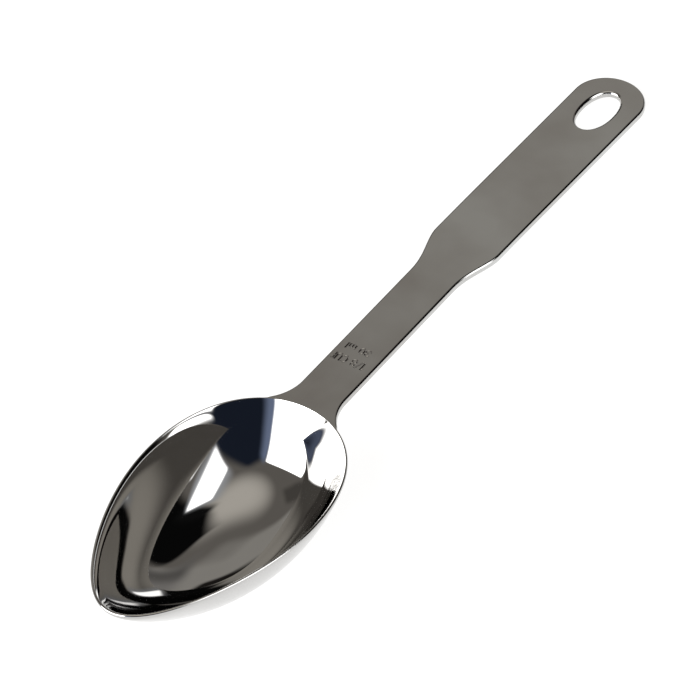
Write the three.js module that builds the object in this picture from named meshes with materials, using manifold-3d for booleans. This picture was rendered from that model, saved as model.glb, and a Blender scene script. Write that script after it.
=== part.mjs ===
// Measuring scoop: an egg-shaped bowl, a flat bar handle with a waist and a
// hang hole, and the flush weld that joins the two.
// Millimetres, +Z up. The scoop stands as it does on a table: on the underside
// of its bowl and on the end of its handle. X runs from the bowl's tip to the
// handle's end, and Y = 0 is the plane of symmetry.
import * as THREE from 'three';
import Module from 'manifold-3d';

// ---- driving dimensions (drawn with the rim level, tip of the bowl at x = 0)
const BOWL_LENGTH = 78.1;          // outside, tip to back of rim
const EGG = [0.3044255, -0.5585276, 0.3155565, 0.2133654, 0.4385687]; // plan outline, highest power first
const WALL = 1.4;                  // sheet thickness of the bowl
const DEPTH = 18.56;               // inside, rim to deepest point
const PROFILE_P = 3.055;             // fullness of the wall profile at the tip and sides
const PROFILE_Q = 1.113;
const BACK_P = 3.192;               // and at the back, where the wall leans out more
const BACK_Q = 1.044;
const BACK_K = 4.5;                // how closely that keeps to the back
const PLAN_X = 45.308;               // the rings pass from the egg at the rim
const PLAN_A = 35.832;               // to an ellipse at the floor, around this middle,
const PLAN_B = 22.373;               // and their middle slides a little along X
const SLIDE_2 = -1.724;
const SLIDE_4 = 0.869;
const RIM_R = 0.55;                // top of the straight outer wall, below the rim
const CREST = 0.2;                 // the rim's crest lies this far inside its outer edge
const LIP_H = 2.9;                 // the wall rounds over towards the crest from this depth
const LIP_BACK = 6.5;              // and from this depth at the back
const LIP_K = 2.7;                 // how closely that keeps to the back
const HANDLE_T = 1.9;              // bar thickness
const EDGE_R = 0.6;                // rounding of the bar's edges
const TOTAL_LENGTH = 218.0;        // tip of bowl to end of handle
const NECK_HALF = 6.0;             // half width of the neck
const GRIP_HALF_0 = 8.95;          // half width of the grip after the shoulders
const END_R = 9.1;                 // round end of the grip
const SHOULDER_X0 = 129.8;         // shoulders widen the neck into the grip
const SHOULDER_X1 = 145.9;
const FLARE_R = 12.8;              // fillets between neck and rim
const BEND_X0 = 131.0;             // the grip dips a little below the neck's plane
const BEND_X1 = 164.0;
const BEND_DEG = 1.63;
const HOLE_X = 204.3;              // hang hole: centre and half axes
const HOLE_A = 7.9;
const HOLE_B = 4.1;
const WELD_W = 1.6;                // width of the weld between rim and bar
const WELD_DEPTH = 3.4;            // how far the weld runs down the bowl's wall
const REST_TILT_DEG = 5.5328;      // rim to table, standing on bowl and handle end
const SHIFT_X = -108.3153;         // puts the origin under the middle of the box
const SHIFT_Z = 24.8258;

// ---- plan outline of the bowl
const poly = (c, t) => c.reduce((s, k) => s * t + k, 0);
const dpoly = (c, t) => c.slice(0, -1).reduce((s, k, i) => s * t + k * (c.length - 1 - i), 0);
function rimPoint(th) {            // outer rim at angle th: 0 = tip, PI = back
  const h = BOWL_LENGTH / 2, t = (1 - Math.cos(th)) / 2, s = Math.sin(th), p = poly(EGG, t);
  const x = h * (1 - Math.cos(th)), y = h * s * p;
  const dx = h * s, dy = h * (Math.cos(th) * p + s * dpoly(EGG, t) * s / 2);
  const l = Math.hypot(dx, dy);
  return { x, y, nx: -dy / l, ny: dx / l };
}
const offsetRim = (th, d) => { const r = rimPoint(th); return [r.x + d * r.nx, r.y + d * r.ny]; };

// ---- inside surface of the bowl: rings shrinking to the deepest point
function profile(th) {
  const k = Math.pow((1 - Math.cos(th)) / 2, BACK_K);
  return [PROFILE_P + (BACK_P - PROFILE_P) * k, PROFILE_Q + (BACK_Q - PROFILE_Q) * k];
}
const fall = (r, th) => { const [p, q] = profile(th); return Math.pow(Math.max(0, 1 - Math.pow(r, p)), 1 / q); };
const ringAt = (depth, th) => {    // ring number at this depth below the rim
  const [p, q] = profile(th);
  return Math.pow(1 - Math.pow((depth - RIM_R) / (DEPTH - RIM_R), q), 1 / p);
};
function inside(r, th) {
  const [ox, oy] = offsetRim(th, -WALL);
  const m = r * r;
  const sx = m * (ox - PLAN_X) - (1 - m) * PLAN_A * Math.cos(th);
  const sy = m * oy + (1 - m) * PLAN_B * Math.sin(th);
  return new THREE.Vector3(
    PLAN_X + SLIDE_2 * (1 - m) + SLIDE_4 * (1 - m * m) + r * sx, r * sy, -RIM_R - (DEPTH - RIM_R) * fall(r, th));
}
function insideNormal(r, th) {     // unit normal, pointing into the hollow
  if (r > 1 - 1e-6) { const o = rimPoint(th); return new THREE.Vector3(-o.nx, -o.ny, 0); }
  const e = 1e-4, d = 1e-3;
  const a = inside(Math.min(r + e, 1 - 1e-9), th).sub(inside(Math.max(r - e, 1e-6), th));
  const b = inside(r, th + d).sub(inside(r, th - d));
  const n = a.cross(b).normalize();
  return n.z < 0 ? n.negate() : n;
}
const lipRing = (th) => ringAt(LIP_H + (LIP_BACK - LIP_H) * Math.pow((1 - Math.cos(th)) / 2, LIP_K), th);
function lip(t, th) {              // rounding from the wall (t = 0) to the crest (t = 1)
  const r = lipRing(th), a = inside(r, th), m = insideNormal(r, th);
  const up = new THREE.Vector3(-m.z * m.x, -m.z * m.y, 1 - m.z * m.z);
  const b = a.clone().addScaledVector(up, -a.z / up.z);
  const [cx, cy] = offsetRim(th, -CREST);
  return a.multiplyScalar((1 - t) * (1 - t)).addScaledVector(b, 2 * t * (1 - t))
    .add(new THREE.Vector3(cx, cy, 0).multiplyScalar(t * t));
}
const outside = (r, th) => inside(r, th).addScaledVector(insideNormal(r, th), -WALL);

// ---- closed meshes from loops of points
class Solid {
  constructor() { this.pos = []; this.tri = []; this.seen = new Map(); }
  add(v) {
    const p = [Math.fround(v.x), Math.fround(v.y), Math.fround(v.z)];
    const k = p.map((c) => c.toFixed(5)).join(',');
    if (!this.seen.has(k)) { this.seen.set(k, this.pos.length / 3); this.pos.push(...p); }
    return this.seen.get(k);
  }
  face(a, b, c) { if (a !== b && b !== c && c !== a) this.tri.push(a, b, c); }
  quad(a, b, c, d) { this.face(a, b, c); this.face(a, c, d); }
  strip(p, q) {                    // between two closed loops of equal count
    const n = p.length;
    for (let i = 0; i < n; i++) {
      const j = (i + 1) % n;
      this.quad(this.add(p[i]), this.add(p[j]), this.add(q[j]), this.add(q[i]));
    }
  }
  geometry() {
    const g = new THREE.BufferGeometry();
    g.setAttribute('position', new THREE.Float32BufferAttribute(this.pos, 3));
    g.setIndex(this.tri);
    let v = 0;                     // faces point out
    const P = this.pos, T = this.tri;
    for (let i = 0; i < T.length; i += 3) {
      const [a, b, c] = [T[i] * 3, T[i + 1] * 3, T[i + 2] * 3];
      v += P[a] * (P[b + 1] * P[c + 2] - P[b + 2] * P[c + 1])
         - P[a + 1] * (P[b] * P[c + 2] - P[b + 2] * P[c])
         + P[a + 2] * (P[b] * P[c + 1] - P[b + 1] * P[c]);
    }
    if (v < 0) for (let i = 0; i < T.length; i += 3) { const s = T[i]; T[i] = T[i + 1]; T[i + 1] = s; }
    g.setIndex(T);
    g.computeVertexNormals();
    return g;
  }
}
const V = (x, y, z) => new THREE.Vector3(x, y, z);
const RAD = Math.PI / 180;

// ---- flare fillet: a circle touching the neck's edge and the rim
function rimGap(cx, cy) {
  let best = 1e9;
  for (let i = 0; i <= 4000; i++) {
    const r = rimPoint(Math.PI * (0.6 + 0.4 * i / 4000));
    best = Math.min(best, Math.hypot(r.x - cx, r.y - cy));
  }
  return best;
}
let lo = BOWL_LENGTH - 5, hi = BOWL_LENGTH + 25;
for (let i = 0; i < 50; i++) {
  const m = (lo + hi) / 2;
  if (rimGap(m, NECK_HALF + FLARE_R) < FLARE_R) lo = m; else hi = m;
}
const FLARE_X = (lo + hi) / 2, FLARE_Y = NECK_HALF + FLARE_R;
function flareGap(th) {            // distance along the rim's normal to the fillet's arc
  const r = rimPoint(th), s = r.y < 0 ? -1 : 1;
  const ax = r.x - FLARE_X, ay = s * r.y - FLARE_Y, nx = r.nx, ny = s * r.ny;
  const b = ax * nx + ay * ny, c = ax * ax + ay * ay - FLARE_R * FLARE_R;
  const q = b * b - c;
  return q < 0 ? 1e9 : Math.max(-b - Math.sqrt(q), 0);
}
const weldWidth = (th) => Math.min(WELD_W, flareGap(th));

// angles around the rim: even steps, and finer ones where the bar is welded on;
// the bar starts where the flare has opened to the weld's full width
let open = 1 * RAD, shut = 23 * RAD;
for (let i = 0; i < 50; i++) {
  const h = (open + shut) / 2;
  if (flareGap(Math.PI + h) > WELD_W) open = h; else shut = h;
}
const TIP = (open + shut) / 2 / RAD;
const WELD_COLUMNS = [-23, -(TIP + 23) / 2, -TIP, -TIP * 0.8, -TIP * 0.6, -TIP * 0.4, -TIP * 0.2, 0,
  TIP * 0.2, TIP * 0.4, TIP * 0.6, TIP * 0.8, TIP, (TIP + 23) / 2, 23].map((d) => Math.PI + d * RAD);
const FIRST = 23 * RAD;
const angles = [];
const STEPS = 60;
for (let i = 0; i <= STEPS; i++) angles.push((Math.PI + FIRST) + (2 * Math.PI - 2 * FIRST) * i / STEPS);
for (let i = 1; i < WELD_COLUMNS.length - 1; i++) angles.push(WELD_COLUMNS[i] + 2 * Math.PI);
// the same numbers for both the bowl and the weld
const weldAngles = [angles[STEPS], ...angles.slice(STEPS + 1), angles[0] + 2 * Math.PI];

// ---- bowl
const wallRings = [RIM_R, 1.2, 2.2, WELD_DEPTH].map((depth) => (th) => ringAt(depth, th));
const lowFactors = [];
for (let i = 1; i <= 11; i++) {
  const k = i / 12;
  lowFactors.push(Math.cos(k * Math.PI / 2) * 0.55 + (1 - k) * 0.45);
}
const lowRings = lowFactors.map((f) => (th) => f * ringAt(WELD_DEPTH, th));
const rimRing = (off, z) => (th) => { const [x, y] = offsetRim(th, off); return V(x, y, z); };
const s45 = Math.SQRT1_2;
const crestRow = rimRing(-CREST, 0);
const lipRows = [0, 0.25, 0.5, 0.75].map((t) => (th) => lip(t, th));
const outsideRow = (ring) => (th) => outside(ring(th), th);
const basin = lowFactors.map((f) => (th) => inside(f * lipRing(th), th));
const outerWeldRows = [crestRow, ...wallRings.map(outsideRow)]; // crest down to the weld's foot
const rows = [
  ...basin.slice().reverse(), ...lipRows, crestRow,
  ...wallRings.map(outsideRow), ...lowRings.map(outsideRow),
];
const bowl = new Solid();
const loops = rows.map((f) => angles.map((th) => f(th)));
const poleIn = inside(1e-6, 0); poleIn.y = 0;
const poleOut = V(poleIn.x, 0, poleIn.z - WALL);
const n = angles.length;
for (let i = 0; i < n; i++) {
  const j = (i + 1) % n;
  bowl.face(bowl.add(poleIn), bowl.add(loops[0][i]), bowl.add(loops[0][j]));
  const l = loops[loops.length - 1];
  bowl.face(bowl.add(poleOut), bowl.add(l[j]), bowl.add(l[i]));
}
for (let k = 0; k + 1 < loops.length; k++) bowl.strip(loops[k].slice().reverse(), loops[k + 1].slice().reverse());

// ---- weld: the strip between the rim and the bar, with a hollow fillet under it
const barTop = (x) => {            // height of the bar's upper face
  const s = Math.tan(BEND_DEG * RAD), l = BEND_X1 - BEND_X0;
  if (x <= BEND_X0) return 0;
  if (x >= BEND_X1) return -s * (x - BEND_X0 - l / 2);
  return -s * (x - BEND_X0) * (x - BEND_X0) / (2 * l);
};
const barEdge = (th, z) => { const [x, y] = offsetRim(th, weldWidth(th)); return V(x, y, z); };
const weld = new Solid();
const weldLoops = weldAngles.map((th) => {
  const wall = outerWeldRows.map((f) => f(th));
  const foot = wall[wall.length - 1];
  const heel = barEdge(th, -HANDLE_T);
  const full = 0.6 * weldWidth(th) / WELD_W; // the fillet runs out towards the weld's ends
  const hollow = [2 / 3, 1 / 3].map((t) => {
    const s = t + (Math.sin(t * Math.PI / 2) - t) * full, c = t + (1 - Math.cos(t * Math.PI / 2) - t) * full;
    return V(heel.x + (foot.x - heel.x) * s, heel.y + (foot.y - heel.y) * s, heel.z + (foot.z - heel.z) * c);
  });
  return [...wall, ...hollow, heel, barEdge(th, 0)];
});
for (let k = 0; k + 1 < weldLoops.length; k++) {
  const p = weldLoops[k], q = weldLoops[k + 1], m = p.length;
  for (let i = 0; i < m; i++) {
    const j = (i + 1) % m;
    // the wall side repeats the bowl's own triangles, the bar side the bar's
    const a = weld.add(p[i]), b = weld.add(p[j]), c = weld.add(q[j]), d = weld.add(q[i]);
    if (i < outerWeldRows.length - 1) { weld.face(d, a, b); weld.face(d, b, c); }
    else { weld.face(a, b, c); weld.face(a, c, d); }
  }
}
const turn = (p, q, r) => (q.x - p.x) * (r.y - p.y) - (q.y - p.y) * (r.x - p.x);
for (const [k, back] of [[0, true], [weldLoops.length - 1, false]]) {
  const loop = weldLoops[k], r = rimPoint(weldAngles[k]);
  const flat = loop.map((p) => new THREE.Vector2((p.x - r.x) * r.nx + (p.y - r.y) * r.ny, p.z));
  const round = Math.sign(THREE.ShapeUtils.area(flat));
  for (const f of THREE.ShapeUtils.triangulateShape(flat, [])) {
    const along = Math.sign(turn(...f.map((i) => flat[i]))) === round;
    const [a, b, c] = f.map((i) => weld.add(loop[i]));
    if (along !== back) weld.face(a, b, c); else weld.face(a, c, b);
  }
}

// ---- handle: rows across the bar, from the weld to the round end
const smooth = (t) => { const u = Math.min(Math.max(t, 0), 1); return u * u * (3 - 2 * u); };
const END_X = TOTAL_LENGTH - END_R;
const half = (x) => {
  const g = GRIP_HALF_0 + (END_R - GRIP_HALF_0) * Math.max(0, (x - SHOULDER_X1) / (END_X - SHOULDER_X1));
  const t = Math.max(0, (x - SHOULDER_X0) / (SHOULDER_X1 - SHOULDER_X0));
  return NECK_HALF + (g - NECK_HALF) * smooth(Math.pow(t, 1.2));
};
const front = weldAngles.slice(2, -2).map((th) => offsetRim(th, weldWidth(th)));
// half the outline, on the +Y side: [x, y, nx, ny, rounding, how much of the front's arc is left]
const edge = [];
const tip = front[0][1] > 0 ? front[0] : front[front.length - 1];
edge.push([tip[0], tip[1], 0, 1, 0, 1]);
const a0 = Math.atan2(tip[1] - FLARE_Y, tip[0] - FLARE_X), a1 = -Math.PI / 2;
for (let i = 1; i <= 6; i++) {
  const a = a0 + (a1 - a0) * i / 6;
  edge.push([FLARE_X + FLARE_R * Math.cos(a), FLARE_Y + FLARE_R * Math.sin(a), -Math.cos(a), -Math.sin(a),
    EDGE_R * Math.min(1, i / 3), Math.pow(1 - i / 6, 1.25)]);
}
const xs = [90, 98, 108, 118, 126, 129.8, 132.7, 135.6, 138, 140.4, 142.4, 144.3, 145.9, 149.5, 153, 157, 160.5, 164, 174, 185, 196, 202];
for (const x of xs) {
  const d = (half(x + 0.01) - half(x - 0.01)) / 0.02, l = Math.hypot(1, d);
  edge.push([x, half(x), -d / l, 1 / l, EDGE_R, 0]);
}
for (let i = 0; i <= 9; i++) {
  const a = (84 * RAD) * i / 9;
  edge.push([END_X + END_R * Math.sin(a), END_R * Math.cos(a), Math.sin(a), Math.cos(a), EDGE_R, 0]);
}
const bar = new Solid();
const barLoops = edge.map(([x, y, nx, ny, r, f], k) => {
  const at = (inset, down, side) => {
    const px = x - inset * nx, py = (y - inset * ny) * side;
    return V(px, py, barTop(px) - down);
  };
  const across = (down) => front.map(([fx, fy]) => {
    if (k === 0) return V(fx, fy, -down);
    const ex = x - r * nx, ey = y - r * ny;
    const px = ex + (fx - tip[0]) * f, py = ey * (fy / tip[1]);
    return V(px, py, barTop(px) - down);
  });
  const top = across(0), bottom = across(HANDLE_T);
  const s0 = Math.sign(front[0][1]), s1 = -s0;
  const q = r * (1 - s45);
  return [...top,
    at(q, q, s1), at(0, r, s1), at(0, HANDLE_T - r, s1), at(q, HANDLE_T - q, s1),
    ...bottom.slice().reverse(),
    at(q, HANDLE_T - q, s0), at(0, HANDLE_T - r, s0), at(0, r, s0), at(q, q, s0)];
});
for (let k = 0; k + 1 < barLoops.length; k++) bar.strip(barLoops[k], barLoops[k + 1]);
const m = front.length;
{ // front face: the same triangles as the weld's
  const l = barLoops[0], t = (i) => bar.add(l[i]), b = (i) => bar.add(V(l[i].x, l[i].y, -HANDLE_T));
  for (let i = 0; i + 1 < m; i++) { bar.face(t(i), b(i), b(i + 1)); bar.face(t(i), b(i + 1), t(i + 1)); }
}
{ // end face
  const l = barLoops[barLoops.length - 1];
  const flat = l.map((p) => new THREE.Vector2(p.y, p.z));
  const cw = THREE.ShapeUtils.isClockWise(flat);
  for (const f of THREE.ShapeUtils.triangulateShape(flat, [])) {
    const [a, b, c] = f.map((i) => bar.add(l[i]));
    if (front[0][1] > 0 ? cw : !cw) bar.face(a, c, b); else bar.face(a, b, c);
  }
}

// ---- hang hole, cut through the bar
const wasm = await Module();
wasm.setup();
const toSolid = (g) => {
  const p = g.getAttribute('position'), s = new Solid(), ids = [];
  for (let i = 0; i < p.count; i++) ids.push(s.add(V(p.getX(i), p.getY(i), p.getZ(i))));
  const idx = g.index ? Array.from(g.index.array) : [...Array(p.count).keys()];
  for (let i = 0; i < idx.length; i += 3) s.face(ids[idx[i]], ids[idx[i + 1]], ids[idx[i + 2]]);
  return new wasm.Manifold(new wasm.Mesh({
    numProp: 3, vertProperties: new Float32Array(s.pos), triVerts: new Uint32Array(s.tri) }));
};
const oval = new THREE.Shape();
for (let i = 0; i < 40; i++) {
  const a = 2 * Math.PI * i / 40, c = Math.cos(a), s = Math.sin(a);
  const px = HOLE_A * Math.sign(c) * Math.pow(Math.abs(c), 0.95), py = HOLE_B * Math.sign(s) * Math.pow(Math.abs(s), 0.95);
  if (i === 0) oval.moveTo(px, py); else oval.lineTo(px, py);
}
oval.closePath();
const punch = new THREE.ExtrudeGeometry(oval, { depth: 12, bevelEnabled: false });
punch.translate(HOLE_X, 0, -8);
const drilled = toSolid(bar.geometry()).subtract(toSolid(punch)).getMesh();
const barGeometry = new THREE.BufferGeometry();
const dp = [];
for (let i = 0; i < drilled.vertProperties.length; i += drilled.numProp) dp.push(...drilled.vertProperties.slice(i, i + 3));
barGeometry.setAttribute('position', new THREE.Float32BufferAttribute(dp, 3));
barGeometry.setIndex(Array.from(drilled.triVerts));
barGeometry.computeVertexNormals();

// ---- assembly
const mesh = (name, geometry, color, roughness) => {
  const part = new THREE.Mesh(geometry, new THREE.MeshStandardMaterial({ color, roughness, metalness: 1.0 }));
  part.name = name;
  return part;
};
const level = new THREE.Group();   // drawn with the rim level, then leaned back onto the handle's end
level.rotation.y = REST_TILT_DEG * RAD;
level.position.set(SHIFT_X, 0, SHIFT_Z);
level.add(mesh('bowl', bowl.geometry(), 0xc9cacb, 0.06));
level.add(mesh('weld_seam', weld.geometry(), 0xbfc0c1, 0.12));
level.add(mesh('handle', barGeometry, 0xbcbcba, 0.14));
const scoop = new THREE.Group();
scoop.name = 'measuring_scoop';
scoop.add(level);
scoop.updateMatrixWorld(true);
export default scoop;
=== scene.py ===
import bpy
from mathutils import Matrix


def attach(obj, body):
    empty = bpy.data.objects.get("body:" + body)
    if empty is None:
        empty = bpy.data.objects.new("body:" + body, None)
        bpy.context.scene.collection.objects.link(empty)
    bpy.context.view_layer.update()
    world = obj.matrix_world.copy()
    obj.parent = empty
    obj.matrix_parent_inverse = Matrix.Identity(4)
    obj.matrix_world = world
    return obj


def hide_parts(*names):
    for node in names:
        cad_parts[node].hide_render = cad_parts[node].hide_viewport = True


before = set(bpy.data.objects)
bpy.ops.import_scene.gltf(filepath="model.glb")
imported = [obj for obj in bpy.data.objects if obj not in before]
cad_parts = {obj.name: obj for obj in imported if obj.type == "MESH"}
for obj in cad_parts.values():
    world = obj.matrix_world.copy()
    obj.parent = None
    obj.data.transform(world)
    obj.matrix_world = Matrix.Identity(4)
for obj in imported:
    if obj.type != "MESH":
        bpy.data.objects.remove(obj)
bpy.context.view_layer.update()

import math

import bpy
import numpy as np
from mathutils import Matrix

# Polished steel measuring scoop. The shapes are worked out in millimetres with
# the rim level and the bowl's tip at x = 0, then leaned back onto the handle's
# end and turned into metres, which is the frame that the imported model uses.

# ---------------------------------------------------------------- dimensions
BOWL_LENGTH = 78.1
EGG = [0.3044255, -0.5585276, 0.3155565, 0.2133654, 0.4385687]
WALL = 1.4
DEPTH = 18.56
PROFILE_P, PROFILE_Q = 3.055, 1.113
BACK_P, BACK_Q, BACK_K = 3.192, 1.044, 4.5
PLAN_X, PLAN_A, PLAN_B = 45.308, 35.832, 22.373
SLIDE_2, SLIDE_4 = -1.724, 0.869
RIM_R = 0.55
CREST = 0.4
LIP_H, LIP_BACK, LIP_K = 2.9, 6.5, 2.7
BAR_T = 1.9
TOTAL_LENGTH = 218.0
NECK_HALF, GRIP_HALF_0, END_R = 6.0, 8.95, 9.1
SHOULDER_X0, SHOULDER_X1 = 129.8, 145.9
FLARE_R = 12.8
BEND_X0, BEND_X1, BEND_DEG = 131.0, 164.0, 1.63
HOLE_X, HOLE_A, HOLE_B, HOLE_R = 204.3, 7.75, 3.95, 0.75
WELD_W = 1.6
FOOT_Z = -3.75
TILT = math.radians(5.5328)
SHIFT_X, SHIFT_Z = -108.3153, 24.8258

UP = np.array([0.0, 0.0, 1.0])
LEAN = np.array([[math.cos(TILT), 0, math.sin(TILT)], [0, 1, 0], [-math.sin(TILT), 0, math.cos(TILT)]])


def to_world(p):
    return (np.asarray(p, float) @ LEAN.T + np.array([SHIFT_X, 0, SHIFT_Z])) / 1000


def turn(v):
    return np.asarray(v, float) @ LEAN.T


def unit(v):
    l = np.linalg.norm(v, axis=-1, keepdims=True)
    return v / np.maximum(l, 1e-12)


# ------------------------------------------------------------- analytic shapes
def rim(th):
    """Outer rim at angle th (0 = tip, pi = back): position and outward normal in plan."""
    th = np.asarray(th, float)
    h, t, s = BOWL_LENGTH / 2, (1 - np.cos(th)) / 2, np.sin(th)
    p, dp = np.polyval(EGG, t), np.polyval(np.polyder(EGG), t)
    dx, dy = h * s, h * (np.cos(th) * p + s * dp * s / 2)
    l = np.maximum(np.hypot(dx, dy), 1e-12)
    return np.stack([h * (1 - np.cos(th)), h * s * p], -1), np.stack([-dy / l, dx / l], -1)


def rim_off(th, d):
    p, n = rim(th)
    return p + np.asarray(d, float)[..., None] * n if np.ndim(d) else p + d * n


def inside(r, th):
    """Inner surface of the bowl: rings shrinking to the deepest point, with a wall that leans out more at the back."""
    o = rim_off(th, -WALL)
    k = ((1 - np.cos(th)) / 2) ** BACK_K
    p, q = PROFILE_P + (BACK_P - PROFILE_P) * k, PROFILE_Q + (BACK_Q - PROFILE_Q) * k
    m = r * r
    sx = m * (o[..., 0] - PLAN_X) - (1 - m) * PLAN_A * np.cos(th)
    sy = m * o[..., 1] + (1 - m) * PLAN_B * np.sin(th)
    z = -RIM_R - (DEPTH - RIM_R) * np.clip(1 - r ** p, 0, None) ** (1 / q)
    return np.stack([PLAN_X + SLIDE_2 * (1 - m) + SLIDE_4 * (1 - m * m) + r * sx, r * sy, z + 0 * sx], -1)


def inside_normal(r, th):
    r, th = np.broadcast_arrays(np.minimum(np.asarray(r, float), 1 - 2e-4), np.asarray(th, float))
    e = np.clip(0.2 * (1 - r), 1e-9, 1e-4)
    a = inside(r + e, th) - inside(np.maximum(r - e, 1e-9), th)
    b = inside(r, th + 1e-4) - inside(r, th - 1e-4)
    n = unit(np.cross(a, b))
    return np.where(n[..., 2:3] < 0, -n, n)


def lip_ring(th):
    """Ring at which the inner wall passes into the rounding of the rim, which reaches further down at the back."""
    w = (1 - np.cos(th)) / 2
    h = LIP_H + (LIP_BACK - LIP_H) * w ** LIP_K
    k = w ** BACK_K
    p, q = PROFILE_P + (BACK_P - PROFILE_P) * k, PROFILE_Q + (BACK_Q - PROFILE_Q) * k
    return (1 - ((h - RIM_R) / (DEPTH - RIM_R)) ** q) ** (1 / p)


def inner_lip(th, t):
    """Long soft rounding from the inner wall up to the rim's crest, t from 0 to 1."""
    r = lip_ring(th)
    a, m = inside(r, th), inside_normal(r, th)
    up = UP - m[..., 2:3] * m
    b = a - up * (a[..., 2:3] / up[..., 2:3])
    p, n = rim(th)
    c = np.concatenate([p - CREST * n, 0 * p[..., :1]], -1)
    return (1 - t) ** 2 * a + 2 * t * (1 - t) * b + t * t * c, (1 - t) * (b - a) + t * (c - b)


def lip(th, t, outer):
    """Rounding of the rim: from the inner wall up to the crest, or from the crest down to the outer wall, t from 0 to 1."""
    th = np.asarray(th, float)
    if not outer:
        at, way = inner_lip(th, t)
        n = unit(np.cross(way, inner_lip(th + 1e-4, t)[0] - inner_lip(th - 1e-4, t)[0]))
        return at, np.where(n[..., 2:3] < 0, -n, n)
    p, n = rim(th)
    up = inside_normal(np.ones(np.shape(th)), th)[..., 2]
    lean = up / np.sqrt(1 - up * up)
    c = WALL * np.sqrt(1 - up * up) - WALL
    d = RIM_R + WALL * up
    o, z = [-CREST + 0 * up, c + d * lean, c], [0 * up, 0 * up, -d]
    at = lambda v: (1 - t) ** 2 * v[0] + 2 * t * (1 - t) * v[1] + t * t * v[2]
    way = lambda v: (1 - t) * (v[1] - v[0]) + t * (v[2] - v[1])
    off, to, tz = at(o), way(o), way(z)
    xy = p + off[..., None] * n
    return np.concatenate([xy, at(z)[..., None]], -1), unit(np.concatenate([-tz[..., None] * n, to[..., None]], -1))


def outside(r, th):
    return inside(r, th) - WALL * inside_normal(r, th)


def ring_at_outer(z, th):
    """Ring number whose outer surface lies at height z, at each angle."""
    lo, hi = np.full(np.shape(th), 0.3), np.full(np.shape(th), 1 - 1e-9)
    for _ in range(40):
        m = (lo + hi) / 2
        low = outside(m, th)[..., 2] < z
        lo, hi = np.where(low, m, lo), np.where(low, hi, m)
    return (lo + hi) / 2


def bar_top(x):
    x = np.asarray(x, float)
    s, l = math.tan(math.radians(BEND_DEG)), BEND_X1 - BEND_X0
    return np.where(x <= BEND_X0, 0, np.where(x >= BEND_X1, -s * (x - BEND_X0 - l / 2), -s * (x - BEND_X0) ** 2 / (2 * l)))


def bar_up(x):
    x = np.asarray(x, float)
    s, l = math.tan(math.radians(BEND_DEG)), BEND_X1 - BEND_X0
    k = s * np.clip((x - BEND_X0) / l, 0, 1)
    return unit(np.stack([k, 0 * k, 1 + 0 * k], -1))


END_X = TOTAL_LENGTH - END_R


def half(x):
    x = np.asarray(x, float)
    g = GRIP_HALF_0 + (END_R - GRIP_HALF_0) * np.maximum(0, (x - SHOULDER_X1) / (END_X - SHOULDER_X1))
    t = np.clip((x - SHOULDER_X0) / (SHOULDER_X1 - SHOULDER_X0), 0, 1) ** 1.2
    return NECK_HALF + (g - NECK_HALF) * t * t * (3 - 2 * t)


# the flare's circle touches the neck's edge and the rim
FLARE_Y = NECK_HALF + FLARE_R
_th = np.linspace(0.6 * math.pi, math.pi, 20001)
_rp = rim(_th)[0]


def _gap(cx):
    d = np.hypot(_rp[:, 0] - cx, _rp[:, 1] - FLARE_Y)
    return d.min(), _th[d.argmin()]


lo, hi = BOWL_LENGTH - 5, BOWL_LENGTH + 25
for _ in range(50):
    mid = (lo + hi) / 2
    lo, hi = (mid, hi) if _gap(mid)[0] < FLARE_R else (lo, mid)
FLARE_X = (lo + hi) / 2
TH_TANGENT = _gap(FLARE_X)[1]


def flare_gap(th, edge=RIM_R):
    """Length of the top face along the rim's normal, from the rim's crest to the flare's rounding (y > 0 side)."""
    p, n = rim(th)
    q = p - CREST * n - np.array([FLARE_X, FLARE_Y])
    b = (q * n).sum(-1)
    c = (q * q).sum(-1) - (FLARE_R + edge) ** 2
    d = b * b - c
    return np.where(d < 0, 1e3, np.maximum(-b - np.sqrt(np.maximum(d, 0)), 0))


lo, hi = TH_TANGENT, math.pi - 0.02
for _ in range(60):
    mid = (lo + hi) / 2
    lo, hi = (mid, hi) if flare_gap(mid) < WELD_W + CREST else (lo, mid)
TH_TIP = (lo + hi) / 2


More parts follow.
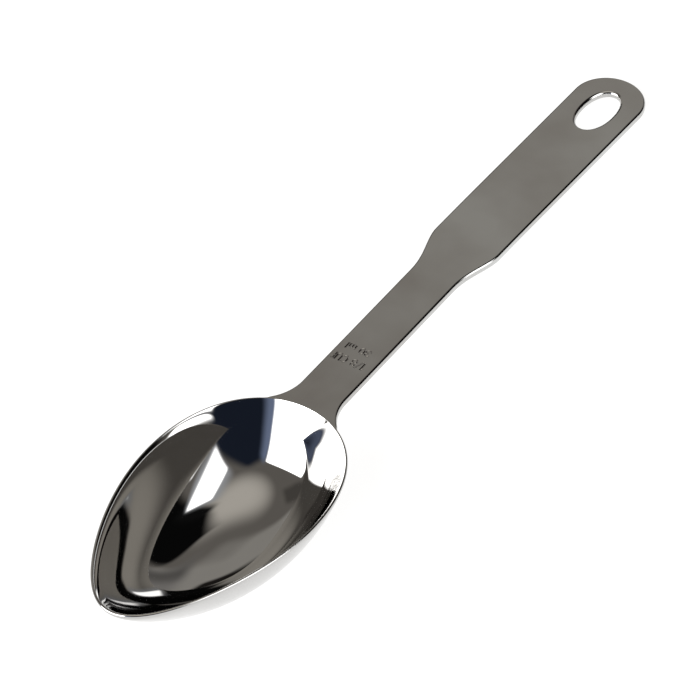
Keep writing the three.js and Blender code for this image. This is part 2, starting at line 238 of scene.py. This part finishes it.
# ------------------------------------------------------------------ mesh maker
class Shape:
    """Gathers points with their normals, and faces; equal points become one."""

    def __init__(self):
        self.p, self.n, self.f, self.key = [], [], [], {}

    def point(self, p, n):
        k = (round(float(p[0]), 5), round(float(p[1]), 5), round(float(p[2]), 5))
        if k not in self.key:
            self.key[k] = len(self.p)
            self.p.append(p)
            self.n.append(n)
        return self.key[k]

    def grid(self, P, N):
        s = P.shape[:-1]
        return np.array([self.point(p, n) for p, n in zip(P.reshape(-1, 3), N.reshape(-1, 3))]).reshape(s)

    def face(self, *v):
        w = [a for i, a in enumerate(v) if a != v[i - 1]]
        if len(w) > 2 and len(set(w)) == len(w):
            self.f.append(tuple(int(a) for a in w))

    def quads(self, I, flip=False, wrap=False):
        rows = I.shape[0]
        cols = I.shape[1] if wrap else I.shape[1] - 1
        for a in range(rows - 1):
            for b in range(cols):
                c = (b + 1) % I.shape[1]
                v = (I[a, b], I[a, c], I[a + 1, c], I[a + 1, b])
                self.face(*(v[::-1] if flip else v))

    def strip(self, A, B):
        """Triangles between two open chains of points of different counts, A and B running the same way."""
        pa, pb = np.array([self.p[i] for i in A]), np.array([self.p[i] for i in B])
        ta = np.r_[0, np.cumsum(np.linalg.norm(np.diff(pa, axis=0), axis=1))]
        tb = np.r_[0, np.cumsum(np.linalg.norm(np.diff(pb, axis=0), axis=1))]
        ta, tb = ta / ta[-1], tb / tb[-1]
        i = j = 0
        while i < len(A) - 1 or j < len(B) - 1:
            if j == len(B) - 1 or (i < len(A) - 1 and ta[i + 1] <= tb[j + 1]):
                self.face(A[i], A[i + 1], B[j])
                i += 1
            else:
                self.face(A[i], B[j + 1], B[j])
                j += 1

    def object(self, name):
        P, N = to_world(np.array(self.p)), unit(turn(np.array(self.n)))
        me = bpy.data.meshes.new(name)
        me.from_pydata(P.tolist(), [], self.f)
        vol = 0.0
        for f in self.f:
            a = P[f[0]]
            for k in range(1, len(f) - 1):
                vol += a @ np.cross(P[f[k]], P[f[k + 1]])
        if vol < 0:
            me.flip_normals()
        me.validate()
        me.update()
        me.polygons.foreach_set("use_smooth", [True] * len(me.polygons))
        # corners take the surface's own normal, or across a sharp edge the face's
        faces, count, at = np.empty(3 * len(me.polygons)), np.empty(len(me.polygons), np.int32), np.empty(len(me.loops), np.int32)
        me.polygons.foreach_get("normal", faces)
        me.polygons.foreach_get("loop_total", count)
        me.loops.foreach_get("vertex_index", at)
        faces, corners = np.repeat(faces.reshape(-1, 3), count, axis=0), N[at]
        me.normals_split_custom_set(np.where((faces * corners).sum(-1, keepdims=True) > 0.2, corners, faces).tolist())
        ob = bpy.data.objects.new(name, me)
        bpy.context.scene.collection.objects.link(ob)
        return ob


def v3(xy, z):
    xy = np.asarray(xy, float)
    z = np.broadcast_to(np.asarray(z, float), xy.shape[:-1])
    return np.concatenate([xy, z[..., None]], -1)


# ------------------------------------------------------------------------ bowl
HORN, CONTACT = 20, 28
horn = TH_TANGENT + (TH_TIP - TH_TANGENT) * np.linspace(0, 1, HORN + 1) ** 0.8
front = np.linspace(TH_TIP, 2 * math.pi - TH_TIP, CONTACT + 1)
rest = np.linspace(2 * math.pi - TH_TANGENT, 2 * math.pi + TH_TANGENT, 293)
columns = np.concatenate([horn[:-1], front, 2 * math.pi - horn[::-1][1:], rest[1:-1]])


def even_rings(n, top):
    """Ring numbers at even steps along the wall's profile, from the rim down to just short of the middle."""
    r = np.sin(np.linspace(0.0001, 1, 4000) * math.pi / 2)
    a = inside(r, np.full(r.shape, 0.62 * math.pi))
    s = np.r_[0, np.cumsum(np.linalg.norm(np.diff(a, axis=0), axis=1))]
    return np.interp(np.linspace(s[-1], s[-1] * 0.008, n), s, r) if top else None


bowl = Shape()
rings = even_rings(120, True)
rings[0] = 1 - 1e-9
low_part = lip_ring(columns)
rows = [(inside(r * low_part, columns), inside_normal(r * low_part, columns)) for r in rings[:0:-1]]
rows += [lip(columns, t, False) for t in np.linspace(0, 1, 33)]
rows += [lip(columns, t, True) for t in np.linspace(0, 1, 15)]
for r in rings[1:]:
    n = inside_normal(np.full(columns.shape, r), columns)
    rows.append((inside(r, columns) - WALL * n, -n))
I = bowl.grid(np.array([r[0] for r in rows]), np.array([r[1] for r in rows]))
bowl.quads(I, wrap=True)
low = inside(np.array(1e-6), np.array(0.0))
pole_in, pole_out = bowl.point(np.array([low[0], 0, low[2]]), UP), bowl.point(np.array([low[0], 0, low[2] - WALL]), -UP)
for b in range(len(columns)):
    c = (b + 1) % len(columns)
    bowl.face(pole_in, I[0, c], I[0, b])
    bowl.face(pole_out, I[-1, b], I[-1, c])
bowl_shell = bowl.object("bowl_shell")

# ------------------------------------------------------------------------ weld
# Each column is a closed section: top face, outer side, underside, and back up
# the bowl's own wall. Towards its two ends the weld thins out into the rim.
NB, NC1, NC2 = 10, 12, 14
foot_ring = lambda th: ring_at_outer(FOOT_Z, th)


def wall_samples(th):
    """The bowl's outer face under the weld, from the crest's edge down to the foot: points and normals."""
    PN = [lip(np.array(th), t, True) for t in np.linspace(0, 1, NB + 1)]
    P, N = [a[0] for a in PN], [a[1] for a in PN]
    zs = np.r_[np.linspace(P[-1][2], -BAR_T, NC1 + 1)[1:], np.linspace(-BAR_T, FOOT_Z, NC2 + 1)[1:]]
    rr = ring_at_outer(zs, np.full(zs.shape, th))
    Q, M = outside(rr, np.full(zs.shape, th)), -inside_normal(rr, np.full(zs.shape, th))
    return np.vstack([P, Q]), np.vstack([N, M])


def weld_section(th, free):
    """Section at angle th; free = the outer side is an edge in the open, else it is the joint to the bar."""
    s = 1 if th <= math.pi else -1
    t = th if s > 0 else 2 * math.pi - th
    p, n = rim(t)
    full = WELD_W + CREST
    rr = CREST + (RIM_R - CREST) * min(max((t - TH_TANGENT) / (TH_TIP - TH_TANGENT), 0.0), 1.0)
    size = float(min(flare_gap(t, rr), full)) if t < TH_TIP + 1e-9 else full
    crest = p - CREST * n
    end = crest + size * n
    nf = unit(np.array([FLARE_X, FLARE_Y]) - end)
    wallP, wallN = wall_samples(t)
    top = [np.r_[crest + size * n * k / 6, 0] for k in range(7)]
    topN = [UP] * 7
    P, N = [], []
    foot = wallP[-1] - 0.02 * wallN[-1]
    heel = np.r_[end, -BAR_T]
    if free:
        for a in np.linspace(0, math.pi / 2, NB + 1)[1:]:
            P.append(np.r_[end + rr * math.sin(a) * nf, -rr + rr * math.cos(a)])
            N.append(np.r_[math.sin(a) * nf, math.cos(a)])
        for k in range(1, NC1 + 1):
            if k <= 4:
                P.append(np.r_[end + rr * nf, -rr - (BAR_T - 2 * rr) * k / 4])
                N.append(np.r_[nf, 0])
            else:
                a = (k - 4) / (NC1 - 4) * math.pi / 2
                P.append(np.r_[end + rr * math.cos(a) * nf, -BAR_T + rr - rr * math.sin(a)])
                N.append(np.r_[math.cos(a) * nf, -math.sin(a)])
    else:
        for k in range(1, NB + NC1 + 1):
            P.append(np.r_[end, -BAR_T * k / (NB + NC1)])
            N.append(np.r_[n, 0] if k < NB + NC1 else -UP)
    for k in range(1, NC2 + 1):
        u, a = k / NC2, k / NC2 * math.pi / 2
        d = foot - heel
        P.append(heel + np.r_[d[:2] * (0.4 * u + 0.6 * math.sin(a)), d[2] * (0.4 * u + 0.6 * (1 - math.cos(a)))])
        run = np.linalg.norm(d[:2])
        N.append(unit(np.r_[n * (-d[2] * (0.4 + 0.3 * math.pi * math.sin(a))), -run * (0.4 + 0.3 * math.pi * math.cos(a))]))
    P, N = np.array(P), np.array(N)
    if free:                          # thin out into the rim
        w = np.r_[np.full(NB, min(1.0, 4 * size / full)), np.full(NC1 + NC2, size / full)][:, None]
        P = wallP[1:] * (1 - w) + P * w
        N = unit(wallN[1:] * (1 - w) + N * w)
    loopP = np.vstack([top, P, wallP[::-1][1:-1]])
    loopN = np.vstack([topN, N, -wallN[::-1][1:-1]])
    if s < 0:
        loopP, loopN = loopP * [1, -1, 1], loopN * [1, -1, 1]
    return loopP, loopN


weld = Shape()
sections = [weld_section(t, True) for t in horn] + [weld_section(t, False) for t in front]
sections += [weld_section(t, True) for t in 2 * math.pi - horn[::-1]]
I = weld.grid(np.array([s[0] for s in sections]), np.array([s[1] for s in sections]))
weld.quads(I, wrap=True)
weld_fillet = weld.object("weld_fillet")

# ---------------------------------------------------------------------- handle
bar = Shape()
# the outline, from the weld along +Y, round the end, and back along -Y: inset points and outward normals
tip = rim_off(TH_TIP, WELD_W)
a0, a1 = math.atan2(tip[1] - FLARE_Y, tip[0] - FLARE_X), -math.pi / 2
flare = [(np.array([FLARE_X, FLARE_Y]) + (FLARE_R + RIM_R) * np.array([math.cos(a), math.sin(a)]), -np.array([math.cos(a), math.sin(a)]))
         for a in np.linspace(a0, a1, 25)]
TEXT_X0, TEXT_X1 = 93.6, 102.6
CUT_X = 186.0
xs = np.r_[np.linspace(FLARE_X, TEXT_X0, 3)[1:], np.linspace(TEXT_X0, TEXT_X1, 11)[1:], np.linspace(TEXT_X1, SHOULDER_X0, 12)[1:],
           np.linspace(SHOULDER_X0, SHOULDER_X1, 61)[1:], np.linspace(SHOULDER_X1, BEND_X1, 25)[1:], np.linspace(BEND_X1, CUT_X, 8)[1:]]
side = []
for x in xs:
    d = float(half(x + 0.005) - half(x - 0.005)) / 0.01
    n = unit(np.array([-d, 1.0]))
    side.append((np.array([x, float(half(x))]) - RIM_R * n, n))
plus = flare + side
K = len(plus) - 1
round_end = []
for x in np.linspace(CUT_X, END_X, 26)[1:]:
    round_end.append((np.array([x, float(half(x)) - RIM_R]), np.array([0.0, 1.0])))
for a in np.linspace(0, math.pi / 2, 41)[1:]:
    n = np.array([math.sin(a), math.cos(a)])
    round_end.append((np.array([END_X, 0]) + (END_R - RIM_R) * n, n))
edge = plus + round_end
edge = edge + [(p * [1, -1], n * [1, -1]) for p, n in edge[::-1][1:]]
EP, EN = np.array([e[0] for e in edge]), np.array([e[1] for e in edge])
M = len(edge) - 1
# rounded edge all along the outline
prof = [(math.sin(a), -RIM_R + RIM_R * math.cos(a), math.cos(a)) for a in np.linspace(0, math.pi / 2, NB + 1)]
prof += [(1.0, -RIM_R - (BAR_T - 2 * RIM_R) * k / 4, 0.0) for k in range(1, 4)]
prof += [(math.cos(a), -BAR_T + RIM_R - RIM_R * math.sin(a), -math.sin(a)) for a in np.linspace(0, math.pi / 2, NB + 1)]
band = []
for s, z, c in prof:
    xy = EP + RIM_R * s * EN
    band.append((v3(xy, bar_top(xy[:, 0]) + z), unit(s * v3(EN, 0.0) + c * bar_up(xy[:, 0]))))
B = bar.grid(np.array([b[0] for b in band]), np.array([b[1] for b in band]))
bar.quads(B)
# rows across the bar, from the weld to the cut before the hang hole
arc = rim_off(front, WELD_W)
share = arc[:, 1] / arc[0, 1]


def across(k, down):
    if k == 0:
        xy = arc
    else:
        f = max(0.0, 1 - k / (len(flare) - 1)) ** 1.25
        xy = np.stack([EP[k, 0] + (arc[:, 0] - arc[0, 0]) * f, EP[k, 1] * share], -1)
    return v3(xy, bar_top(xy[:, 0]) - down), bar_up(xy[:, 0]) * (1 if down == 0 else -1)


faces = {}
for down in (0.0, BAR_T):
    PN = [across(k, down) for k in range(K + 1)]
    G = bar.grid(np.array([a[0] for a in PN]), np.array([a[1] for a in PN]))
    e = 0 if down == 0 else len(prof) - 1
    for k in range(K + 1):
        G[k, 0], G[k, -1] = B[e, k], B[e, M - k]
    faces[down] = G
# front face, against the weld
for j in range(CONTACT):
    bar.face(faces[0.0][0, j], faces[BAR_T][0, j], faces[BAR_T][0, j + 1], faces[0.0][0, j + 1])
bar.face(*B[:, 0])
bar.face(*B[::-1, M])
bar.quads(faces[BAR_T], flip=True)

# ---- capacity marks, struck into the neck: plain strokes on a 4 x 6 grid
def bow(cx, cy, rx, ry, a, b, n=14):
    t = np.radians(np.linspace(a, b, n))
    return [(cx + rx * math.cos(u), cy + ry * math.sin(u)) for u in t]


GLYPHS = {
    "1": (2.2, [[(0.2, 4.8), (1.5, 6.0), (1.5, 0.0)]]),
    "/": (3.0, [[(0.1, -0.4), (2.9, 6.4)]]),
    "8": (3.6, [bow(1.8, 4.5, 1.45, 1.45, -90, 270, 25), bow(1.8, 1.55, 1.75, 1.55, -90, 270, 25)]),
    "3": (3.6, [bow(1.7, 4.5, 1.5, 1.5, 160, -90), bow(1.7, 1.55, 1.75, 1.5, 90, -160)]),
    "0": (3.8, [bow(1.9, 3.0, 1.75, 3.0, -90, 270, 29)]),
    "C": (4.0, [bow(2.2, 3.0, 2.1, 3.0, 48, 312, 22)]),
    "U": (4.0, [[(0.2, 6.0), (0.2, 2.0)] + bow(2.0, 1.9, 1.8, 1.9, 180, 360) + [(3.8, 2.0), (3.8, 6.0)]]),
    "P": (3.6, [[(0.3, 0.0), (0.3, 6.0), (1.9, 6.0)] + bow(1.9, 4.5, 1.5, 1.5, 90, -90) + [(0.3, 3.0)]]),
    "m": (5.2, [[(0.2, 0.0), (0.2, 4.0)], [(0.2, 2.8)] + bow(1.4, 2.8, 1.2, 1.2, 180, 0, 9) + [(2.6, 0.0)],
                [(2.6, 2.8)] + bow(3.8, 2.8, 1.2, 1.2, 180, 0, 9) + [(5.0, 0.0)]]),
    "l": (1.0, [[(0.5, 0.0), (0.5, 6.2)]]),
    " ": (2.0, []),
}


def line_of_text(text, x_mid, y_mid, height, squeeze):
    """Segments of one line. It reads with the bowl at the top: right is +Y, up is -X."""
    k = height / 6.0
    strokes, pen = [], 0.0
    for c in text:
        w, parts = GLYPHS[c]
        for s in parts:
            strokes.append([(pen + px, py) for px, py in s])
        pen += w + 1.1
    pen -= 1.1
    out = []
    for s in strokes:
        q = [(x_mid - (py - 3.0) * k, y_mid + (px - pen / 2) * k * squeeze) for px, py in s]
        out += [(q[i], q[i + 1]) for i in range(len(q) - 1)]
    return out


segments = line_of_text("1/8 CUP", 96.0, 0.85, 2.3, 0.81) + line_of_text("30 ml", 100.36, 0.80, 1.95, 0.97)
SEG = np.array(segments)


def groove(X, Y):
    """How far from the middle of the nearest stroke."""
    best = np.full(X.shape, 1e9)
    for (ax, ay), (bx, by) in SEG:
        dx, dy = bx - ax, by - ay
        t = np.clip(((X - ax) * dx + (Y - ay) * dy) / max(dx * dx + dy * dy, 1e-12), 0, 1)
        best = np.minimum(best, np.hypot(X - ax - t * dx, Y - ay - t * dy))
    return best


def struck(X, Y):
    t = np.clip(groove(X, Y) / 0.22, 0, 1)
    return -0.09 * (1 - t * t * (3 - 2 * t))


G = faces[0.0]
gp = np.array(bar.p)
i0 = next(k for k in range(K + 1) if abs(EP[k, 0] - TEXT_X0) < 1e-6)
i1 = next(k for k in range(K + 1) if abs(EP[k, 0] - TEXT_X1) < 1e-6)
j0, j1 = 1, CONTACT - 1
for a in range(K):
    for b in range(CONTACT):
        if not (i0 <= a < i1 and j0 <= b < j1):
            bar.face(G[a, b], G[a, b + 1], G[a + 1, b + 1], G[a + 1, b])
ya, yb = gp[G[i0, j0]][1], gp[G[i0, j1]][1]
fx = np.linspace(TEXT_X0 + 0.1, TEXT_X1 - 0.1, 190)
fy = np.linspace(ya - 0.1, yb + 0.1, 205)
X, Y = np.meshgrid(fx, fy, indexing="ij")
Z = struck(X, Y)
h = 0.004
ZX, ZY = (struck(X + h, Y) - struck(X - h, Y)) / (2 * h), (struck(X, Y + h) - struck(X, Y - h)) / (2 * h)
patch = bar.grid(np.stack([X, Y, Z], -1), unit(np.stack([-ZX, -ZY, np.ones_like(X)], -1)))
bar.quads(patch)
bar.strip([G[i0, j] for j in range(j0, j1 + 1)], [patch[0, j] for j in range(patch.shape[1])])
bar.strip([G[i, j1] for i in range(i0, i1 + 1)], [patch[i, -1] for i in range(patch.shape[0])])
bar.strip([G[i1, j] for j in range(j1, j0 - 1, -1)], [patch[-1, j] for j in range(patch.shape[1] - 1, -1, -1)])
bar.strip([G[i, j0] for i in range(i1, i0 - 1, -1)], [patch[i, 0] for i in range(patch.shape[0] - 1, -1, -1)])

# ---- hang hole: a ring of faces between the outline and the hole, above and below
outer_xy = np.vstack([EP[K:M - K + 1], np.array([bar.p[G[K, j]][:2] for j in range(CONTACT - 1, 0, -1)])])
alpha = np.arctan2(outer_xy[:, 1] / HOLE_B, (outer_xy[:, 0] - HOLE_X) / HOLE_A)


def oval(alpha, grow):
    c, s = np.cos(alpha), np.sin(alpha)
    p = np.stack([HOLE_A * np.sign(c) * np.abs(c) ** 0.95, HOLE_B * np.sign(s) * np.abs(s) ** 0.95], -1)
    n = unit(np.stack([c / HOLE_A, s / HOLE_B], -1))
    return p + grow * n + [HOLE_X, 0], n


inner_xy, inner_n = oval(alpha, HOLE_R)
loops = {}
for down, sgn in ((0.0, 1), (BAR_T, -1)):
    e = 0 if down == 0 else len(prof) - 1
    ids = [list(B[e, K:M - K + 1]) + [faces[down][K, j] for j in range(CONTACT - 1, 0, -1)]]
    for t in np.linspace(0, 1, 8)[1:]:
        xy = outer_xy * (1 - t) + inner_xy * t
        P = v3(xy, bar_top(xy[:, 0]) - down)
        ids.append(list(bar.grid(P, np.broadcast_to(sgn * bar_up(np.array([200.0])), P.shape))))
    R = np.array(ids)
    bar.quads(R, flip=(sgn > 0), wrap=True)
    loops[down] = R[-1]
wall_rows = [loops[0.0]]
hole = [(math.sin(a), -HOLE_R + HOLE_R * math.cos(a), math.cos(a)) for a in np.linspace(0, math.pi / 2, 8)[1:]]
hole += [(1.0, -HOLE_R - (BAR_T - 2 * HOLE_R) * k / 3, 0.0) for k in range(1, 3)]
hole += [(math.cos(a), -BAR_T + HOLE_R - HOLE_R * math.sin(a), -math.sin(a)) for a in np.linspace(0, math.pi / 2, 8)[:-1]]
for s, z, c in hole:
    xy = inner_xy - HOLE_R * s * inner_n
    P = v3(xy, bar_top(xy[:, 0]) + z)
    wall_rows.append(bar.grid(P, unit(-s * v3(inner_n, 0.0) + c * bar_up(np.array([200.0])))))
wall_rows.append(loops[BAR_T])
bar.quads(np.array(wall_rows), flip=True, wrap=True)
handle_bar = bar.object("handle_bar")


# ------------------------------------------------------------------- materials
def steel(name, tint_low, tint_high, rough_low, rough_high, grain, grain_turn):
    """Polished stainless steel: faint tone drift, soft wiping haze and fine directional polishing lines."""
    m = bpy.data.materials.new(name)
    m.use_nodes = True
    t = m.node_tree
    t.nodes.clear()
    N = t.nodes.new
    out, bs = N("ShaderNodeOutputMaterial"), N("ShaderNodeBsdfPrincipled")
    t.links.new(bs.outputs["BSDF"], out.inputs["Surface"])
    bs.inputs["Metallic"].default_value = 1.0
    co = N("ShaderNodeTexCoord")

    def noise(scale, detail, stretch=(1, 1, 1), rot=(0, 0, 0), rough=0.5):
        mp, nz = N("ShaderNodeMapping"), N("ShaderNodeTexNoise")
        mp.inputs["Scale"].default_value = stretch
        mp.inputs["Rotation"].default_value = rot
        t.links.new(co.outputs["Object"], mp.inputs["Vector"])
        t.links.new(mp.outputs["Vector"], nz.inputs["Vector"])
        nz.inputs["Scale"].default_value = scale
        nz.inputs["Detail"].default_value = detail
        nz.inputs["Roughness"].default_value = rough
        return nz.outputs["Fac"]

    def ramp(fac, stops):
        r = N("ShaderNodeValToRGB")
        t.links.new(fac, r.inputs["Fac"])
        e = r.color_ramp.elements
        e[0].position, e[1].position = stops[0][0], stops[-1][0]
        for s in stops[1:-1]:
            e.new(s[0])
        for el, s in zip(e, stops):
            el.color = (*s[1], 1) if len(s[1]) == 3 else s[1]
        return r.outputs["Color"]

    def spread(fac, a, b, lo, hi):
        r = N("ShaderNodeMapRange")
        t.links.new(fac, r.inputs["Value"])
        r.inputs["From Min"].default_value, r.inputs["From Max"].default_value = a, b
        r.inputs["To Min"].default_value, r.inputs["To Max"].default_value = lo, hi
        return r.outputs["Result"]

    def math_node(op, a, b):
        r = N("ShaderNodeMath")
        r.operation = op
        for s, v in zip(r.inputs, (a, b)):
            if isinstance(v, (int, float)):
                s.default_value = v
            else:
                t.links.new(v, s)
        return r.outputs["Value"]

    drift = noise(38, 3)
    t.links.new(ramp(drift, [(0.3, tint_low), (0.7, tint_high)]), bs.inputs["Base Color"])
    haze = noise(110, 4, rough=0.62)
    lines = noise(1.0, 3, grain, grain_turn, 0.7)
    r0 = spread(haze, 0.35, 0.7, rough_low, rough_high)
    r1 = spread(lines, 0.55, 0.75, 0.0, (rough_high - rough_low) * 0.8)
    t.links.new(math_node("ADD", r0, r1), bs.inputs["Roughness"])
    b1, b2 = N("ShaderNodeBump"), N("ShaderNodeBump")
    b1.inputs["Strength"].default_value = 0.22
    b1.inputs["Distance"].default_value = 0.00005
    t.links.new(noise(70, 2), b1.inputs["Height"])
    b2.inputs["Strength"].default_value = 0.10
    b2.inputs["Distance"].default_value = 0.000004
    t.links.new(lines, b2.inputs["Height"])
    t.links.new(b1.outputs["Normal"], b2.inputs["Normal"])
    t.links.new(b2.outputs["Normal"], bs.inputs["Normal"])
    return m


bowl_steel = steel("bowl_steel", (0.485, 0.48, 0.472), (0.519, 0.516, 0.510), 0.020, 0.045, (260, 900, 900), (0, 0, 0.9))
weld_steel = steel("weld_steel", (0.424, 0.409, 0.395), (0.576, 0.581, 0.576), 0.05, 0.09, (60, 1600, 1600), (0, 0, 0))
handle_steel = steel("handle_steel", (0.424, 0.409, 0.395), (0.576, 0.581, 0.576), 0.05, 0.09, (60, 1600, 1600), (0, 0, 0))
for ob, mat, node, slot in ((bowl_shell, bowl_steel, "bowl", "bowl_steel"), (weld_fillet, weld_steel, "weld_seam", "weld_steel"),
                            (handle_bar, handle_steel, "handle", "handle_steel")):
    ob.data.materials.append(mat)
    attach(ob, "root")
    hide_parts(node)

# ----------------------------------------------------------------------- stage
# a white table, lit from below as well so that it stays pale
S = 6.0
me = bpy.data.meshes.new("floor")
LOW = -0.00003                       # a hair under the bowl's lowest point
me.from_pydata([(-S, -S, LOW), (S, -S, LOW), (S, S, LOW), (-S, S, LOW)], [], [(0, 1, 2, 3)])
floor = bpy.data.objects.new("floor", me)
bpy.context.scene.collection.objects.link(floor)
fm = bpy.data.materials.new("floor_white")
fm.use_nodes = True
ft = fm.node_tree
ft.nodes.clear()
fo, fd, fe, fa, fx_, fb, fg = (ft.nodes.new(k) for k in ("ShaderNodeOutputMaterial", "ShaderNodeBsdfDiffuse", "ShaderNodeEmission",
                                                        "ShaderNodeAddShader", "ShaderNodeMixShader", "ShaderNodeBsdfTransparent",
                                                        "ShaderNodeNewGeometry"))
fd.inputs["Color"].default_value = (0.22, 0.22, 0.22, 1)
fe.inputs["Color"].default_value = (1.0, 0.998, 0.992, 1)
fe.inputs["Strength"].default_value = 0.88
ft.links.new(fd.outputs["BSDF"], fa.inputs[0])
ft.links.new(fe.outputs["Emission"], fa.inputs[1])
ft.links.new(fg.outputs["Backfacing"], fx_.inputs["Fac"])
ft.links.new(fa.outputs["Shader"], fx_.inputs[1])
ft.links.new(fb.outputs["BSDF"], fx_.inputs[2])
ft.links.new(fx_.outputs["Shader"], fo.inputs["Surface"])
me.materials.append(fm)

# ---- studio: a dim room with two tall soft panels, a bright ceiling patch and dark drapes.
# Directions are given as degrees from straight up: to the right, and away from the viewer.
VIEW_A = math.radians(56.636)
RIGHT = np.array([math.cos(VIEW_A), -math.sin(VIEW_A), 0.0])
AWAY = np.array([math.sin(VIEW_A), math.cos(VIEW_A), 0.0])


def heading(x, y):
    t = math.hypot(x, y)
    d = UP if t < 1e-9 else math.sin(math.radians(t)) * (x / t * RIGHT + y / t * AWAY) + math.cos(math.radians(t)) * UP
    return turn(d)


world = bpy.data.worlds.new("studio")
bpy.context.scene.world = world
world.use_nodes = True
wt = world.node_tree
wt.nodes.clear()
W = wt.nodes.new
wo, bg_light, bg_view, wmix, wpath, wco = (W(k) for k in ("ShaderNodeOutputWorld", "ShaderNodeBackground", "ShaderNodeBackground",
                                                         "ShaderNodeMixShader", "ShaderNodeLightPath", "ShaderNodeTexCoord"))
wt.links.new(wpath.outputs["Is Camera Ray"], wmix.inputs["Fac"])
wt.links.new(bg_light.outputs["Background"], wmix.inputs[1])
wt.links.new(bg_view.outputs["Background"], wmix.inputs[2])
wt.links.new(wmix.outputs["Shader"], wo.inputs["Surface"])
bg_view.inputs["Color"].default_value = (0.93, 0.93, 0.93, 1)
bg_view.inputs["Strength"].default_value = 1.1


def w_dot(v):
    n = W("ShaderNodeVectorMath")
    n.operation = "DOT_PRODUCT"
    wt.links.new(wco.outputs["Generated"], n.inputs[0])
    n.inputs[1].default_value = tuple(float(x) for x in v)
    return n.outputs["Value"]


def w_step(value, lo, hi):
    n = W("ShaderNodeMapRange")
    n.interpolation_type = "SMOOTHSTEP"
    wt.links.new(value, n.inputs["Value"])
    n.inputs["From Min"].default_value, n.inputs["From Max"].default_value = lo, hi
    return n.outputs["Result"]


def w_times(a, b):
    n = W("ShaderNodeMath")
    n.operation = "MULTIPLY"
    wt.links.new(a, n.inputs[0])
    wt.links.new(b, n.inputs[1])
    return n.outputs["Value"]


def w_over(below, colour, mask):
    n = W("ShaderNodeMix")
    n.data_type = "RGBA"
    wt.links.new(mask, n.inputs["Factor"])
    if isinstance(below, tuple):
        n.inputs["A"].default_value = (*below, 1)
        n.inputs[6].default_value = (*below, 1)
    else:
        wt.links.new(below, n.inputs[6])
    n.inputs[7].default_value = (*colour, 1)
    return n.outputs[2]


def panel(corners, soft):
    """Mask of a flat panel seen under these corner headings, with a soft edge of so many degrees on each side."""
    c = [heading(*p) for p in corners]
    mid = sum(c)
    mask = None
    soft = soft if isinstance(soft, (list, tuple)) else [soft] * len(c)
    for i in range(len(c)):
        n = np.cross(c[i], c[(i + 1) % len(c)])
        n = n / np.linalg.norm(n)
        if n @ mid < 0:
            n = -n
        w = math.radians(soft[i])
        s = w_step(w_dot(n), -w, w)
        mask = s if mask is None else w_times(mask, s)
    return mask


def disc(x, y, r0, r1):
    return w_step(w_dot(heading(x, y)), math.cos(math.radians(r1)), math.cos(math.radians(r0)))


# STUDIO-BEGIN
LAYERS = [
    ("base", (0.178, 0.164, 0.148)),
    ("disc", (8, 3, 3, 38), (0.688, 0.646, 0.581)),
    ("panel", [(-80, 40), (-38, 26), (-36, 6), (-58, 8)], [4, 4, 5, 4], (0.095, 0.087, 0.078)),
    ("panel", [(-46, 36), (-10, 42), (44, 48), (70, 54), (60, 85), (-70, 75)], [3, 3, 2, 4, 6, 6], (0.370, 0.352, 0.323)),
    ("panel", [(10, 44), (70, 50), (70, 70), (20, 72)], [4, 4, 6, 6], (0.267, 0.255, 0.243)),
    ("panel", [(10, 44), (70, 50), (70, 58), (14, 56)], [4, 4, 5, 5], (0.136, 0.129, 0.122)),
    ("panel", [(-30, 60), (-8, 56.5), (1, 60), (5, 66), (16, 88), (-40, 88)], [3, 2, 2, 3, 5, 6], (0.017, 0.015, 0.013)),
    ("panel", [(5, 37), (38, 46), (85, 58), (85, -8), (60, -3), (25, 10)], [3, 2, 6, 6, 4, 5], (0.004, 0.004, 0.004)),
    ("panel", [(24, 5), (60, -3), (60, 14), (27, 14)], [4, 4, 4, 4], (0.007, 0.007, 0.007)),
    ("panel", [(-13, -45), (10, -36), (62, -46), (80, -80), (-34, -89)], [6, 5, 4, 4, 4], (0.014, 0.019, 0.033)),
    ("panel", [(-12, -40), (-6, -46), (-12, -89), (-36, -89)], [5, 6, 4, 4], (0.225, 0.279, 0.427)),
    ("panel", [(27, -1), (54, 6), (66, -22), (60, -50), (28, -32)], [4, 3, 5, 4, 7], (0.510, 0.522, 0.546)),
    ("panel", [(-63.3, 6.7), (-15.7, -39.6), (-31, -89), (-92, -12)], [1.2, 3.5, 4, 2], (8.065, 8.065, 8.065)),
    ("panel", [(34, -3), (53, 6), (60, -22), (58, -49), (35, -35)], [2, 2, 4, 2, 2], (4.032, 4.032, 4.032)),
    ("panel", [(70, -17), (88, -12), (83, -32), (73, -45), (62.5, -54.5), (63.3, -47)], [2, 2, 2, 2, 2, 1.5], (4.032, 4.032, 4.032)),
]
# STUDIO-END
col = None
for layer in LAYERS:
    if layer[0] == "base":
        col = layer[1]
    elif layer[0] == "disc":
        col = w_over(col, layer[2], disc(*layer[1]))
    else:
        col = w_over(col, layer[3], panel(layer[1], layer[2]))
wt.links.new(col, bg_light.inputs["Color"])

# ---------------------------------------------------------------------- camera
e = math.radians(43.0)
back = np.array([-math.sin(VIEW_A) * math.cos(e), -math.cos(VIEW_A) * math.cos(e), math.sin(e)])
up = np.cross(back, RIGHT)
cam = bpy.data.cameras.new("camera")
cam.sensor_width = 36.0
cam.lens = 5714.0 * 36.0 / 700.0
cam.clip_start, cam.clip_end = 0.05, 50.0
camera = bpy.data.objects.new("camera", cam)
bpy.context.scene.collection.objects.link(camera)
place = Matrix.Identity(4)
for k, axis in enumerate((turn(RIGHT), turn(up), turn(back))):
    for r in range(3):
        place[r][k] = float(axis[r])
spot = to_world(np.array([99.17, 2.349, 0.0]) + 1314.0 * back)
for r in range(3):
    place[r][3] = float(spot[r])
camera.matrix_world = place
bpy.context.scene.camera = camera
bpy.context.scene.view_settings.view_transform = "Standard"

bpy.context.view_layer.update()
